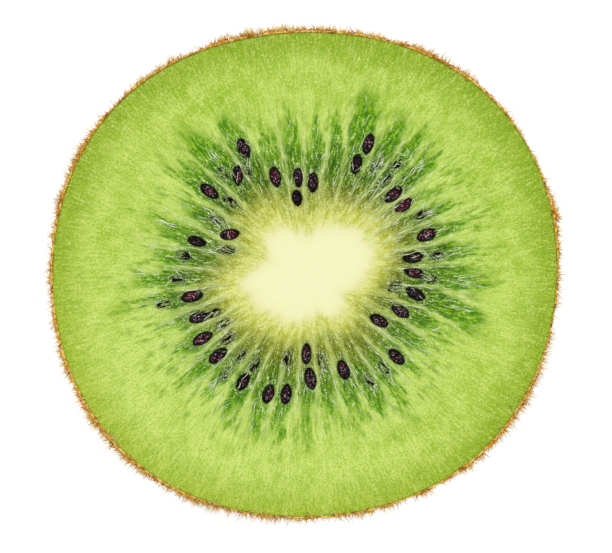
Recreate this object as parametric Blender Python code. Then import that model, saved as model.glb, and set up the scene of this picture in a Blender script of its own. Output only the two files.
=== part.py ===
"""Half of a kiwi fruit, cut crosswise, lying on its rounded end with the cut face up.

Metres, +Z up. The origin is on the ground, under the middle of the fruit.
Flesh and skin have grown together, so the half is one solid piece.
"""
import math

import bmesh
import bpy

NAME = "kiwi_half"

# Size of the half
MEAN_RADIUS = 0.0252  # from the middle of the cut face to the outside of the skin
HEIGHT = 0.032  # from the ground to the cut face
BLUNTNESS = 2.3  # 2 gives an ellipsoid, more gives a barrel with a blunter end

# Shape of the cut outline: shares of the radius, and the direction in which each crest points
OVAL_SHARE, OVAL_TURN = 0.021, math.radians(9)
SQUARE_SHARE, SQUARE_TURN = 0.011, math.radians(45)
THREE_SIDED_SHARE, THREE_SIDED_TURN = 0.004, math.radians(30)
LOPSIDED_SHARE, LOPSIDED_TURN = 0.007, math.radians(90)

# Gentle swellings of the side, as grown
SWELLING_SHARE = 0.007
SWELLINGS_AROUND = 3
SWELLING_TWIST = 2.5  # how far the swellings turn on their way down

# Mesh: latitude runs from 0 at the cut face to a right angle at the end of the fruit
SEGMENTS = 96
RINGS = 24
RINGS_TO_REST = 21  # the ring round the small flat spot that the fruit lies on
REST_LATITUDE = RINGS_TO_REST / RINGS * math.pi / 2

SKIN_COLOUR = (0.235, 0.118, 0.038, 1.0)
SKIN_ROUGHNESS = 0.85
FLESH_COLOUR = (0.42, 0.60, 0.10, 1.0)
FLESH_ROUGHNESS = 0.35


def clear_scene():
    """Start from an empty scene."""
    for thing in list(bpy.data.objects):
        bpy.data.objects.remove(thing)


def outline_share(turn):
    """Radius of the cut outline in one direction, as a share of the mean radius."""
    oval = OVAL_SHARE * math.cos(2 * (turn - OVAL_TURN))
    square = SQUARE_SHARE * math.cos(4 * (turn - SQUARE_TURN))
    three_sided = THREE_SIDED_SHARE * math.cos(3 * (turn - THREE_SIDED_TURN))
    lopsided = LOPSIDED_SHARE * math.cos(turn - LOPSIDED_TURN)
    return 1 + oval + square + three_sided + lopsided


def swelling(turn, latitude):
    """Share by which the side swells or draws in: none at the cut face and none at the end."""
    wave = math.sin(SWELLINGS_AROUND * turn + SWELLING_TWIST * latitude)
    return SWELLING_SHARE * math.sin(2 * latitude) * wave


def fruit_point(turn, latitude):
    """Point on the skin, for a direction round the fruit and a latitude below the cut face."""
    narrowing = math.cos(latitude) ** (2 / BLUNTNESS)
    radius = MEAN_RADIUS * narrowing * (outline_share(turn) + swelling(turn, latitude))
    full_depth = HEIGHT / math.sin(REST_LATITUDE) ** (2 / BLUNTNESS)
    depth = full_depth * math.sin(latitude) ** (2 / BLUNTNESS)
    return radius * math.cos(turn), radius * math.sin(turn), HEIGHT - depth


def half_sphere(mesh):
    """A unit sphere without its upper half and without the cap that the flat spot replaces."""
    bmesh.ops.create_uvsphere(mesh, u_segments=SEGMENTS, v_segments=2 * RINGS, radius=1.0)
    for height, direction in ((0.0, 1), (-math.sin(REST_LATITUDE), -1)):
        everything = mesh.verts[:] + mesh.edges[:] + mesh.faces[:]
        bmesh.ops.bisect_plane(
            mesh,
            geom=everything,
            dist=1e-5,
            plane_co=(0, 0, height),
            plane_no=(0, 0, direction),
            clear_outer=True,
        )


def centre_on_origin(mesh):
    """Slide the piece sideways until the middle of its box is above the origin."""
    for axis in (0, 1):
        lowest = min(vertex.co[axis] for vertex in mesh.verts)
        highest = max(vertex.co[axis] for vertex in mesh.verts)
        middle = (lowest + highest) / 2
        for vertex in mesh.verts:
            vertex.co[axis] -= middle


def plain_material(name, colour, roughness):
    """Principled material of one colour."""
    material = bpy.data.materials.new(name)
    material.use_nodes = True
    material.diffuse_color = colour
    shader = material.node_tree.nodes["Principled BSDF"]
    shader.inputs["Base Color"].default_value = colour
    shader.inputs["Roughness"].default_value = roughness
    shader.inputs["Metallic"].default_value = 0.0
    return material


def kiwi_half():
    """The closed solid: the side in skin, the cut face in flesh."""
    mesh = bmesh.new()
    half_sphere(mesh)
    for vertex in mesh.verts:
        turn = math.atan2(vertex.co.y, vertex.co.x)
        latitude = math.asin(min(max(-vertex.co.z, 0.0), 1.0))
        vertex.co = fruit_point(turn, latitude)
    bmesh.ops.holes_fill(mesh, edges=mesh.edges[:], sides=0)
    centre_on_origin(mesh)
    bmesh.ops.recalc_face_normals(mesh, faces=mesh.faces[:])

    data = bpy.data.meshes.new(NAME)
    data.materials.append(plain_material("kiwi_skin", SKIN_COLOUR, SKIN_ROUGHNESS))
    data.materials.append(plain_material("kiwi_flesh", FLESH_COLOUR, FLESH_ROUGHNESS))
    for face in mesh.faces:
        face.material_index = 1 if face.normal.z > 0.99 else 0
    mesh.to_mesh(data)
    mesh.free()
    data.shade_smooth()
    data.set_sharp_from_angle(angle=math.radians(30))
    return bpy.data.objects.new(NAME, data)


clear_scene()
collection = bpy.data.collections.new(NAME)
bpy.context.scene.collection.children.link(collection)
collection.objects.link(kiwi_half())
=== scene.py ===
import math

import bmesh
import bpy
import numpy as np
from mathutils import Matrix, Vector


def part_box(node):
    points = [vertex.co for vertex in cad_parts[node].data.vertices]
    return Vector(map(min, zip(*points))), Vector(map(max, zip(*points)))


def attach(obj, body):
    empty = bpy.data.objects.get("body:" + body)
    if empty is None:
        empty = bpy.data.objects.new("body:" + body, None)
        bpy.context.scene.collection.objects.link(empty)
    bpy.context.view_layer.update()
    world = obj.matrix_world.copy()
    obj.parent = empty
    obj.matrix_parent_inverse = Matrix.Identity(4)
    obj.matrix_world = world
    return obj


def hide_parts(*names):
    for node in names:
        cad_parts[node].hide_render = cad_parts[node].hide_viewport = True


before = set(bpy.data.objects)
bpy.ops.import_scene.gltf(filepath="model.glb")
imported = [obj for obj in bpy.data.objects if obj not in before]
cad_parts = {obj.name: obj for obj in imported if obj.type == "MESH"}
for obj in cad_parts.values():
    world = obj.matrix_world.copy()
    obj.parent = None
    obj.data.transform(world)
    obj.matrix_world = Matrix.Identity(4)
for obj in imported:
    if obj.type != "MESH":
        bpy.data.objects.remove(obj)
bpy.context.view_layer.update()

# ---------------------------------------------------------------------------------------------
# Flesh. The pulp of the half, one closed body with a cream core, cut across with a knife. The
# green seed chambers stand a little lower than the pale walls between them, and all is wet.
# ---------------------------------------------------------------------------------------------
MM = 0.001
LOW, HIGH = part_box("kiwi_half")
CUT_HEIGHT = HIGH.z

# Shape of the fruit, as in the CAD part: shares of the radius, and the direction of each crest
BLUNTNESS = 2.3  # 2 gives an ellipsoid, more gives a barrel with a blunter end
OVAL_SHARE, OVAL_TURN = 0.021, math.radians(9)
SQUARE_SHARE, SQUARE_TURN = 0.011, math.radians(45)
THREE_SIDED_SHARE, THREE_SIDED_TURN = 0.004, math.radians(30)
LOPSIDED_SHARE, LOPSIDED_TURN = 0.007, math.radians(90)
SWELLING_SHARE, SWELLINGS_AROUND, SWELLING_TWIST = 0.007, 3, 2.5
REST_LATITUDE = math.radians(78.75)  # where the flat spot starts that the fruit lies on
SKIN_THICKNESS = 0.18 * MM
FLESH_INSET = 0.15 * MM

# Rings of points on the cut face: where each zone starts, as a share of the way to the rim
CUT_SEGMENTS = 700
CORE_START, CORE_RINGS = 0.02, 6
CHAMBER_START, CHAMBER_RINGS = 0.18, 92
OUTER_START, OUTER_RINGS = 0.76, 22

# The core's edge, in mm from its own middle: longest between +X and +Y, with a notch towards +Y. Its
# lobes are how many go round it, how far they reach in mm, and the direction of one in degrees.
CORE_X, CORE_Y = 0.3, 0.2
CORE_RADIUS = 5.4
CORE_LOBES = ((2, 0.9, 24), (4, 0.5, 35), (3, 0.25, 22), (5, 0.22, 48), (6, 0.25, 8))

# One row for each seed chamber, going round from +X: its direction in degrees, how far it leans in
# degrees for each mm outwards, where its green ends in mm from the middle, and how deep its green is.
CHAMBERS = (
    (-1, 0.0, 19.0, 0.85), (9, 0.0, 17.6, 0.85), (18, 0.0, 17.8, 0.8), (27, 0.0, 17.6, 0.8),
    (35, 0.0, 16.4, 0.7), (43, 0.0, 18.8, 1.0), (50, 0.0, 19.4, 1.0), (57, 0.2, 19.6, 1.0),
    (66, 0.7, 20.2, 1.0), (76, 0.8, 16.8, 0.85), (86, 0.2, 16.0, 0.8), (96, 0.1, 16.6, 0.8),
    (106, 0.2, 16.4, 0.75), (116, 0.1, 18.4, 1.0), (127, 0.5, 19.2, 1.0), (138, 0.4, 17.4, 0.9),
    (150, 0.0, 15.8, 0.75), (162, -0.4, 16.6, 0.75), (172, 0.0, 16.8, 0.8), (182, 0.0, 18.4, 0.8),
    (191, 0.0, 17.8, 0.8), (201, 0.0, 16.4, 0.65), (211, 0.0, 16.6, 0.65), (221, 0.0, 17.2, 0.7),
    (231, 0.0, 16.8, 0.7), (241, 0.1, 17.8, 0.8), (251, 0.0, 18.0, 0.8), (261, 0.1, 17.0, 0.75),
    (271, 0.0, 16.2, 0.7), (281, -0.2, 16.0, 0.7), (291, -0.4, 16.4, 0.7), (300, -0.2, 17.8, 0.75),
    (309, 0.0, 17.2, 0.7), (318, 0.0, 16.2, 0.7), (328, -0.2, 16.0, 0.75), (338, -0.6, 15.8, 0.85),
    (348, -0.8, 19.2, 1.0),
)
LEAN_RADIUS = 13  # in mm; here a chamber that leans has its stated direction

# One row for each seed: direction in degrees, distance from the middle in mm, how far it is turned
# out of line with the middle in degrees, and how deep in mm it lies below a seed that shows whole.
SEEDS = (
    (1, 10.9, -16, 0), (9, 10.9, -4, 0.1), (18, 12.8, 4, 0), (35, 12.1, 0, 0), (42, 11.9, 0, 0),
    (64, 14.5, 9, 0), (65, 12.2, 11, 0.1), (85, 9.2, 5, 0), (94, 9.7, -2, 0), (96, 7.6, 2, 0.2),
    (107, 10.2, -5, 0), (116, 14.0, -2, 0), (124, 12.0, -33, 0), (139, 12.7, 5, 0), (152, 8.5, 38, 0),
    (163, 11.3, 1, 0.1), (191, 11.5, 2, 0), (202, 11.4, -5, 0), (212, 12.1, -3, 0), (223, 11.9, -5, 0),
    (240, 12.4, 0, 0.1), (253, 12.5, -3, 0), (261, 12.1, 0, 0), (273, 10.4, 10, 0), (271, 7.9, -3, 0),
    (292, 10.3, -2, 0), (318, 12.3, -2, 0), (328, 8.7, 4, 0), (339, 10.2, -10, 0), (350, 11.2, -18, 0.1),
    (8, 13.4, -3, 0.35), (50, 14.5, -20, 0.4), (49, 12.4, 0, 0.5), (57, 13.0, 5, 0.4), (27, 13.1, 0, 0.5),
    (119, 11.9, -10, 0.35), (129, 13.0, 0, 0.5), (136, 10.4, 15, 0.4), (148, 10.3, 20, 0.4),
    (162, 8.1, 15, 0.3), (171, 12.3, -10, 0.4), (182, 12.7, 0, 0.25), (192, 14.5, 0, 0.45),
    (203, 9.9, 0, 0.4), (211, 9.5, -2, 0.3), (220, 10.0, 0, 0.35), (231, 12.8, 0, 0.35),
    (232, 10.4, -3, 0.35), (241, 10.4, 0, 0.5), (258, 8.6, 10, 0.4), (281, 8.9, 4, 0.35),
    (301, 12.4, 0, 0.3), (310, 12.3, 0, 0.45), (352, 9.1, 40, 0.3), (358, 12.5, 0, 0.45),
)
SEED_LENGTH, SEED_WIDTH, SEED_DEPTH = 2.15, 1.16, 0.86  # in mm
SEED_TOP = 0.2  # how far in mm a seed that shows whole stands out of the cut face
DEEP = 0.2  # seeds sunk further than this, in mm, show only in part
DEEP_SHARE = 0.72  # share of their length and width that shows

# Green tips out in the pale flesh, where a chamber comes near the cut: direction in degrees, and
# distance in mm
TIPS = (
    (8, 20), (34, 18.5), (97, 17), (116, 19.5), (129, 19.5), (141, 19), (181, 19.5), (191.5, 19.5),
    (211, 18.7), (220, 18.5), (230, 18.3), (251, 18.5), (271, 17.5), (290, 17), (299, 18.6), (308, 18.3),
    (327, 17), (358, 19.5), (51, 19.4), (66, 20.2), (75, 17.8), (240, 18.6), (262, 18.4), (160, 18.6),
)
TIP_LENGTH, TIP_WIDTH = 0.9, 0.4  # from its middle, in mm

# Broad patches of the outer flesh: direction in degrees, distance and size in mm, and how much they
# are paler (above 0) or deeper in colour (below 0)
PATCHES = (
    (0, 18.5, 3, -0.4), (60, 19, 3.5, -0.5), (90, 20.5, 3.5, 0.7), (120, 21, 4, -1.0), (150, 19, 4, 0.9),
    (210, 21, 5, 0.9), (240, 20, 4.5, 0.6),
)

# Relief of the cut face, in mm
BROAD_WAVES = 0.05
CHAMBER_DEPTH = 0.22
WALL_RISE = 0.08
FIBRE_RISE = 0.035
GRAIN_RISE = 0.012
LIP_RISE = 0.05
SOCKET_DEPTH = 0.25
RIM_DROP = 0.10
CHART_SIDE = 2.1  # side of the flat chart that the textures are baked on, in mean radii


def outline_share(turn):
    """Radius of the cut outline in one direction, as a share of the mean radius."""
    oval = OVAL_SHARE * np.cos(2 * (turn - OVAL_TURN))
    square = SQUARE_SHARE * np.cos(4 * (turn - SQUARE_TURN))
    three_sided = THREE_SIDED_SHARE * np.cos(3 * (turn - THREE_SIDED_TURN))
    lopsided = LOPSIDED_SHARE * np.cos(turn - LOPSIDED_TURN)
    return 1 + oval + square + three_sided + lopsided


all_round = np.linspace(0, 2 * math.pi, 720, endpoint=False)
outline_x = outline_share(all_round) * np.cos(all_round)
outline_y = outline_share(all_round) * np.sin(all_round)
MEAN_RADIUS = (HIGH.x - LOW.x) / np.ptp(outline_x)
MIDDLE_X = MEAN_RADIUS * (outline_x.max() + outline_x.min()) / 2
MIDDLE_Y = MEAN_RADIUS * (outline_y.max() + outline_y.min()) / 2


def fruit_points(turn, latitude, inset):
    """Points of the fruit's side, a given distance inside the skin's outer surface."""
    swelling = np.sin(2 * latitude) * np.sin(SWELLINGS_AROUND * turn + SWELLING_TWIST * latitude)
    outer = MEAN_RADIUS * (outline_share(turn) + SWELLING_SHARE * swelling)
    radius = (outer - inset) * np.cos(latitude) ** (2 / BLUNTNESS)
    full_depth = CUT_HEIGHT / math.sin(REST_LATITUDE) ** (2 / BLUNTNESS) - inset
    height = CUT_HEIGHT - full_depth * np.sin(latitude) ** (2 / BLUNTNESS)
    x = radius * np.cos(turn) - MIDDLE_X
    y = radius * np.sin(turn) - MIDDLE_Y
    height = np.maximum(height, inset) + 0 * radius
    return np.stack([x, y, height], -1)


def ring_mesh(name, rings, first_cap, last_cap):
    """Joins rings of points into one closed mesh, whose ends are fans of triangles."""
    count, around = rings.shape[0], rings.shape[1]
    index = np.arange(count * around).reshape(count, around)
    after = np.roll(index, -1, axis=1)
    quads = np.stack([index[:-1], index[1:], after[1:], after[:-1]], -1).reshape(-1, 4)
    points = np.concatenate([rings.reshape(-1, 3), [first_cap], [last_cap]])
    first, last = count * around, count * around + 1
    first_fan = np.stack([index[0], after[0], np.full(around, first)], -1)
    last_fan = np.stack([after[-1], index[-1], np.full(around, last)], -1)
    mesh = bpy.data.meshes.new(name)
    mesh.from_pydata(points.tolist(), [], quads.tolist() + first_fan.tolist() + last_fan.tolist())
    shape = bmesh.new()
    shape.from_mesh(mesh)
    bmesh.ops.recalc_face_normals(shape, faces=shape.faces[:])
    shape.to_mesh(mesh)
    shape.free()
    mesh.shade_smooth()
    return mesh


def show(name, mesh):
    """Puts a finished mesh in the scene."""
    piece = bpy.data.objects.new(name, mesh)
    bpy.context.scene.collection.objects.link(piece)
    return piece


def grain(across, along, cells, seed):
    """Smooth random field from -1 to 1, which closes on itself after a number of cells across."""
    rows = 101
    table = np.random.default_rng(seed).uniform(-1, 1, (cells, rows))
    column, row = np.floor(across).astype(int), np.floor(along).astype(int)
    s, t = across - column, along - row
    s, t = s * s * (3 - 2 * s), t * t * (3 - 2 * t)
    left, right = column % cells, (column + 1) % cells
    near, far = row % rows, (row + 1) % rows
    low = table[left, near] * (1 - s) + table[right, near] * s
    high = table[left, far] * (1 - s) + table[right, far] * s
    return low * (1 - t) + high * t


def radial_grain(turn, radius, cells, length, seed):
    """Random streaks that run outwards: so many round the fruit, and of a certain length in mm."""
    return grain(turn / (2 * math.pi) * cells, radius / length + 50, cells, seed)


def step(low, high, value):
    """Rises smoothly from 0 to 1 between two values."""
    share = np.clip((value - low) / (high - low), 0, 1)
    return share * share * (3 - 2 * share)


def turned(angle):
    """The same angle, between minus and plus half a turn."""
    return (angle + math.pi) % (2 * math.pi) - math.pi


def place_at(heading, outward, sideways=0.0):
    """A place of the cut face: so far out from the middle in one direction, and so far to its left."""
    x = outward * math.cos(heading) - sideways * math.sin(heading)
    return x, outward * math.sin(heading) + sideways * math.cos(heading)


def seen_from(direction, distance, twist, x, y):
    """How far places lie from a point of the cut face, along the point's own line and across it."""
    heading = math.radians(direction)
    lie = heading + math.radians(twist)
    dx, dy = x - distance * math.cos(heading), y - distance * math.sin(heading)
    return dx * math.cos(lie) + dy * math.sin(lie), dy * math.cos(lie) - dx * math.sin(lie)


def seed_halves(direction, sunk):
    """Half the length and half the width, in mm, of a seed or of as much of it as shows."""
    share = 1.0 if sunk <= DEEP else DEEP_SHARE
    own_length, own_width = 1 + 0.05 * math.sin(3 * direction), 1 + 0.08 * math.sin(5 * direction)
    return SEED_LENGTH / 2 * share * own_length, SEED_WIDTH / 2 * share * own_width


def share_of_seed(direction, distance, twist, sunk, x, y):
    """How far places are from the middle of a seed, as a share of the way to its edge."""
    half_length, half_width = seed_halves(direction, sunk)
    along, sideways = seen_from(direction, distance, twist, x, y)
    return np.hypot(along / half_length, sideways / half_width)


def seed_height(from_seed, sunk):
    """Height of a seed's upper side, in mm over the cut."""
    return SEED_TOP - sunk - SEED_DEPTH / 2 * (1 - np.sqrt(np.clip(1 - from_seed**2, 0, 1)))


ring_share = np.concatenate(
    [
        np.linspace(CORE_START, CHAMBER_START, CORE_RINGS, endpoint=False),
        np.linspace(CHAMBER_START, OUTER_START, CHAMBER_RINGS, endpoint=False),
        np.linspace(OUTER_START, 1.0, OUTER_RINGS),
    ]
)
cut_turns = np.linspace(0, 2 * math.pi, CUT_SEGMENTS, endpoint=False)
rim_ring = fruit_points(cut_turns, 0 * cut_turns, FLESH_INSET)
cut_rings = rim_ring[None] * [1, 1, 0] * ring_share[:, None, None] + [0, 0, CUT_HEIGHT]
x, y = cut_rings[..., 0] / MM, cut_rings[..., 1] / MM
radius = np.hypot(x, y)
bearing = np.arctan2(y, x)
rim_radius = np.hypot(rim_ring[:, 0], rim_ring[:, 1]) / MM
to_skin = rim_radius[None] - radius


def cut_grain(cells, length, seed):
    """Random streaks over the whole cut face."""
    return radial_grain(bearing, radius, cells, length, seed)


core_bearing = np.arctan2(y - CORE_Y, x - CORE_X)
core_edge = CORE_RADIUS
for lobes, size, direction in CORE_LOBES:
    core_edge = core_edge + size * np.cos(lobes * (core_bearing - math.radians(direction)))
core_edge = core_edge + 0.35 * radial_grain(core_bearing, radius * 0, 23, 1, 3)
core_edge = core_edge + 0.25 * radial_grain(core_bearing, radius * 0, 61, 1, 4)
beyond_core = np.hypot(x - CORE_X, y - CORE_Y) - core_edge

# Chambers, and the walls between them
directions, leans, reaches, depths_of_green = np.array(CHAMBERS).T
directions, leans = np.radians(directions), np.radians(leans)
wander = 0.02 * cut_grain(50, 2.6, 11) + 0.01 * cut_grain(150, 1.0, 12)
leaning = leans * (radius[..., None] - LEAN_RADIUS)
offset = turned(bearing[..., None] + wander[..., None] - directions - leaning)
nearest = np.abs(offset).argmin(-1)
own_offset = np.take_along_axis(offset, nearest[..., None], -1)[..., 0]
gap_after = turned(np.roll(directions, -1) - directions) / 2
gap_before = np.roll(gap_after, 1)
half_gap = np.where(own_offset > 0, gap_after[nearest], gap_before[nearest])
from_wall = (half_gap - np.abs(own_offset)) * radius
depth_of_green = depths_of_green[nearest]
ragged_reach = reaches[nearest] + 0.5 * cut_grain(230, 2.5, 13) + 0.7 * cut_grain(120, 4, 14)
wall_half = (1.9 - 1.2 * depth_of_green) * step(-5.5, 1.2, radius - ragged_reach)
ragged_side = 0.2 * cut_grain(300, 0.7, 15)
across = step(-0.3, 0.5, from_wall - wall_half + ragged_side)
outwards = 1 - step(-4.2, 1.4, radius - ragged_reach)
later_start = 0.9 * np.cos(bearing - math.radians(125))
chamber = across * outwards * step(0.6, 4.4, beyond_core - later_start) * depth_of_green
patchy = 0.6 + 0.4 * cut_grain(90, 1.6, 16)
wall = (1 - step(0.0, 0.4, from_wall + ragged_side / 2)) * step(0.6, 2.5, beyond_core)
wall = wall * (1 - step(15, 19, radius)) * patchy
tip = np.zeros_like(radius)
for direction, distance in TIPS:
    along, sideways = seen_from(direction, distance, 0, x, y)
    tip = np.maximum(tip, 1 - step(0.3, 1.0, np.hypot(along / TIP_LENGTH, sideways / TIP_WIDTH)))
tone = np.zeros_like(radius)
for direction, distance, size, amount in PATCHES:
    away = np.hypot(*seen_from(direction, distance, 0, x, y))
    tone = tone + amount * np.exp(-((away / size) ** 2))

# Sockets that the seeds lie in, each with a low lip whose pale specks are painted highlights, and the ragged
# flesh over the deeper seeds with a painted shade round them
streak = cut_grain(330, 1.1, 21)
fine_streak = cut_grain(620, 0.5, 22)
socket, lip, shadow = np.zeros((3, *radius.shape))
cover = np.full_like(radius, np.nan)
for direction, distance, twist, sunk in SEEDS:
    from_seed = share_of_seed(direction, distance, twist, sunk, x, y)
    socket = np.maximum(socket, 1 - step(0.85, 1.02, from_seed))
    lip = np.maximum(lip, step(0.9, 1.1, from_seed) * (1 - step(1.15, 1.6, from_seed)))
    if sunk > DEEP:
        ragged_cover = seed_height(from_seed, sunk) + 0.02 + 0.14 * streak + 0.22 * fine_streak
        cover = np.where(from_seed < 1, ragged_cover, cover)
        # over a deeper seed the lip only carries painted highlights, as the cover sets the height there
        lip = np.where(from_seed < 1, 0.9, lip)
        shadow = np.maximum(shadow, 1 - step(0.8, 1.7, from_seed))

height = BROAD_WAVES * grain(x / 9 + 50, y / 9 + 50, 67, 24) * step(2, 9, radius)
height = height - CHAMBER_DEPTH * chamber * (1 + 0.4 * streak) + WALL_RISE * wall
fibrous = step(0.0, 2.5, beyond_core) * (1 - 0.7 * step(16, 19, radius))
height = height + FIBRE_RISE * fibrous * (streak + 0.7 * fine_streak)
height = height + GRAIN_RISE * grain(x / 0.4 + 100, y / 0.4 + 100, 211, 23) * step(14, 18, radius)
height = height + LIP_RISE * lip * (1 + streak)
height = np.where(np.isnan(cover), height - SOCKET_DEPTH * socket, cover)
height = height - RIM_DROP * (1 - step(0.0, 0.5, to_skin))
height[:2] = height[:2].mean()  # the innermost rings are level with the fan that they hold
cut_rings[..., 2] += height * MM

SIDE_LATITUDES = np.array([0.006, 0.05, 0.14, 0.26, 0.4, 0.55, 0.7, 0.84, 0.96]) * math.pi / 2
side_rings = fruit_points(cut_turns[None], SIDE_LATITUDES[:, None], FLESH_INSET)
side_rings[0, :, 2] = np.minimum(side_rings[0, :, 2], cut_rings[-1, :, 2] - 0.05 * MM)
flesh_rings = np.concatenate([cut_rings, side_rings])
top_middle = [0, 0, cut_rings[0, :, 2].mean()]
flesh_mesh = ring_mesh("kiwi_flesh", flesh_rings, top_middle, [0, 0, FLESH_INSET])


def keep(mesh, name, values):
    """Keeps one number for each point of a mesh."""
    attribute = mesh.attributes.new(name, "FLOAT", "POINT")
    attribute.data.foreach_set("value", np.asarray(values, np.float32))


# What the flesh's material needs to know: its value on the cut face, in the middle of the cut and at
# the lower end. Down the hidden side it stays what it is at the rim.
KEPT = (
    ("beyond_core", beyond_core, beyond_core[0].mean(), 20),
    ("chamber", chamber, 0, 0),
    ("wall", wall, 0, 0),
    ("lip", lip, 0, 0),
    ("tip", tip, 0, 0),
    ("shadow", shadow, 0, 0),
    ("tone", tone, 0, 0),
    ("to_skin", to_skin, 25, 0),
)
for name, values, in_the_middle, at_the_end in KEPT:
    down_the_side = np.tile(values[-1], len(SIDE_LATITUDES))
    keep(flesh_mesh, name, np.concatenate([values.ravel(), down_the_side, [in_the_middle, at_the_end]]))

flat = flesh_mesh.uv_layers.new(name="OFBake")
corner_points = np.zeros(len(flesh_mesh.loops), dtype=int)
flesh_mesh.loops.foreach_get("vertex_index", corner_points)
flesh_points = np.zeros(len(flesh_mesh.vertices) * 3)
flesh_mesh.vertices.foreach_get("co", flesh_points)
flesh_points = flesh_points.reshape(-1, 3)[corner_points]
flat_places = flesh_points[:, :2] / (CHART_SIDE * MEAN_RADIUS) + 0.5
flat.data.foreach_set("uv", flat_places.ravel())


class Wire:
    """An output of a node, with which Python expressions can be written."""

    def __init__(self, socket):
        self.socket = socket
        self.tree = socket.id_data

    def __add__(self, other):
        return maths(self.tree, "ADD", self, other)

    def __mul__(self, other):
        return maths(self.tree, "MULTIPLY", self, other)

    def __sub__(self, other):
        return maths(self.tree, "SUBTRACT", self, other)

    def __rsub__(self, other):
        return maths(self.tree, "SUBTRACT", other, self)

    __radd__ = __add__
    __rmul__ = __mul__

    def between(self, low, high):
        """Rises smoothly from 0 to 1 while the value goes from low to high."""
        settings = {"interpolation_type": "SMOOTHSTEP"}
        return add(self.tree, "ShaderNodeMapRange", settings, {0: self, 1: low, 2: high, 3: 0.0, 4: 1.0})

    def other(self, name):
        """Another output of the same node."""
        return Wire(self.socket.node.outputs[name])


def fill(node, sockets):
    """Gives sockets of a node their values or wires."""
    for key, value in sockets.items():
        if isinstance(value, Wire):
            value.tree.links.new(value.socket, node.inputs[key])
        else:
            node.inputs[key].default_value = value


def add(tree, kind, settings, sockets, out=0):
    """Adds a node: its settings first, then the values or wires of its sockets."""
    node = tree.nodes.new(kind)
    for name, value in settings.items():
        if name == "stops":
            elements = node.color_ramp.elements
            while len(elements) < len(value):
                elements.new(1.0)
            for element, (place, tint) in zip(elements, value):
                element.position = place
                element.color = tint
        else:
            setattr(node, name, value)
    fill(node, sockets)
    return Wire(node.outputs[out])


def maths(tree, operation, first, second):
    """Maths on two numbers."""
    return add(tree, "ShaderNodeMath", {"operation": operation}, {0: first, 1: second})


def vector_maths(operation, first, *others, out=0):
    """Maths on vectors, of which the first is a wire."""
    sockets = dict(enumerate((first, *others)))
    return add(first.tree, "ShaderNodeVectorMath", {"operation": operation}, sockets, out)


def scaled(arrow, size):
    """A vector made so many times as long."""
    return add(arrow.tree, "ShaderNodeVectorMath", {"operation": "SCALE"}, {0: arrow, "Scale": size})


def vector(tree, x=0.0, y=0.0, z=0.0):
    """A vector of three numbers."""
    return add(tree, "ShaderNodeCombineXYZ", {}, {0: x, 1: y, 2: z})


def parts(place):
    """The three numbers of a vector."""
    first = add(place.tree, "ShaderNodeSeparateXYZ", {}, {0: place})
    return first, first.other(1), first.other(2)


def colour(red, green, blue):
    """A colour given as the eye reads it, from 0 to 255, made linear."""
    shares = [part / 255 for part in (red, green, blue)]
    linear = [share / 12.92 if share <= 0.04045 else ((share + 0.055) / 1.055) ** 2.4 for share in shares]
    return (*linear, 1.0)


def blend_colours(share, first, second):
    """Goes from the first colour to the second as share goes from 0 to 1."""
    sockets = {0: share, 6: first, 7: second}
    return add(share.tree, "ShaderNodeMix", {"data_type": "RGBA"}, sockets, out=2)


def layered(paint, *layers):
    """Lays colours over a paint one by one, each by the share that comes before it."""
    for share, tint in layers:
        paint = blend_colours(share, paint, tint)
    return paint


def new_material(name):
    """A material with its tree and its principled shader."""
    material = bpy.data.materials.new(name)
    material.use_nodes = True
    return material, material.node_tree, material.node_tree.nodes["Principled BSDF"]


def object_place(tree):
    """Place on the piece, in mm."""
    return scaled(add(tree, "ShaderNodeTexCoord", {}, {}, out="Object"), 1 / MM)


def noise(place, scale, detail, roughness=0.5, distortion=0.0):
    """Noise from 0 to 1 with a middle of one half; the scale is in waves for each unit of place."""
    sockets = {"Vector": place, "Scale": scale, "Detail": detail}
    sockets.update({"Roughness": roughness, "Distortion": distortion})
    return add(place.tree, "ShaderNodeTexNoise", {}, sockets)


def dimples(place, scale):
    """Distance from the nearest of many scattered points, 0 in the middle of a pit."""
    return add(place.tree, "ShaderNodeTexVoronoi", {}, {"Vector": place, "Scale": scale}, out="Distance")


def bump(height, strength, depth):
    """Fine relief, whose depth is in mm."""
    sockets = {"Strength": strength, "Distance": depth * MM, "Height": height}
    return add(height.tree, "ShaderNodeBump", {}, sockets)


def stored(tree, name):
    """What the mesh keeps under this name."""
    return add(tree, "ShaderNodeAttribute", {"attribute_name": name}, {}, out="Fac")


def streaks(place, tightness, length, detail=2.0, roughness=0.6):
    """Noise drawn out along the radii of the cut face: tightness round the fruit, length in mm."""
    level = vector_maths("MULTIPLY", place, (1, 1, 0))
    distance = vector_maths("LENGTH", level, out="Value")
    wide = scaled(vector_maths("NORMALIZE", level), tightness)
    drawn = vector_maths("ADD", wide, vector(place.tree, z=distance * (1 / length)))
    return noise(drawn, 1.0, detail, roughness)


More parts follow.
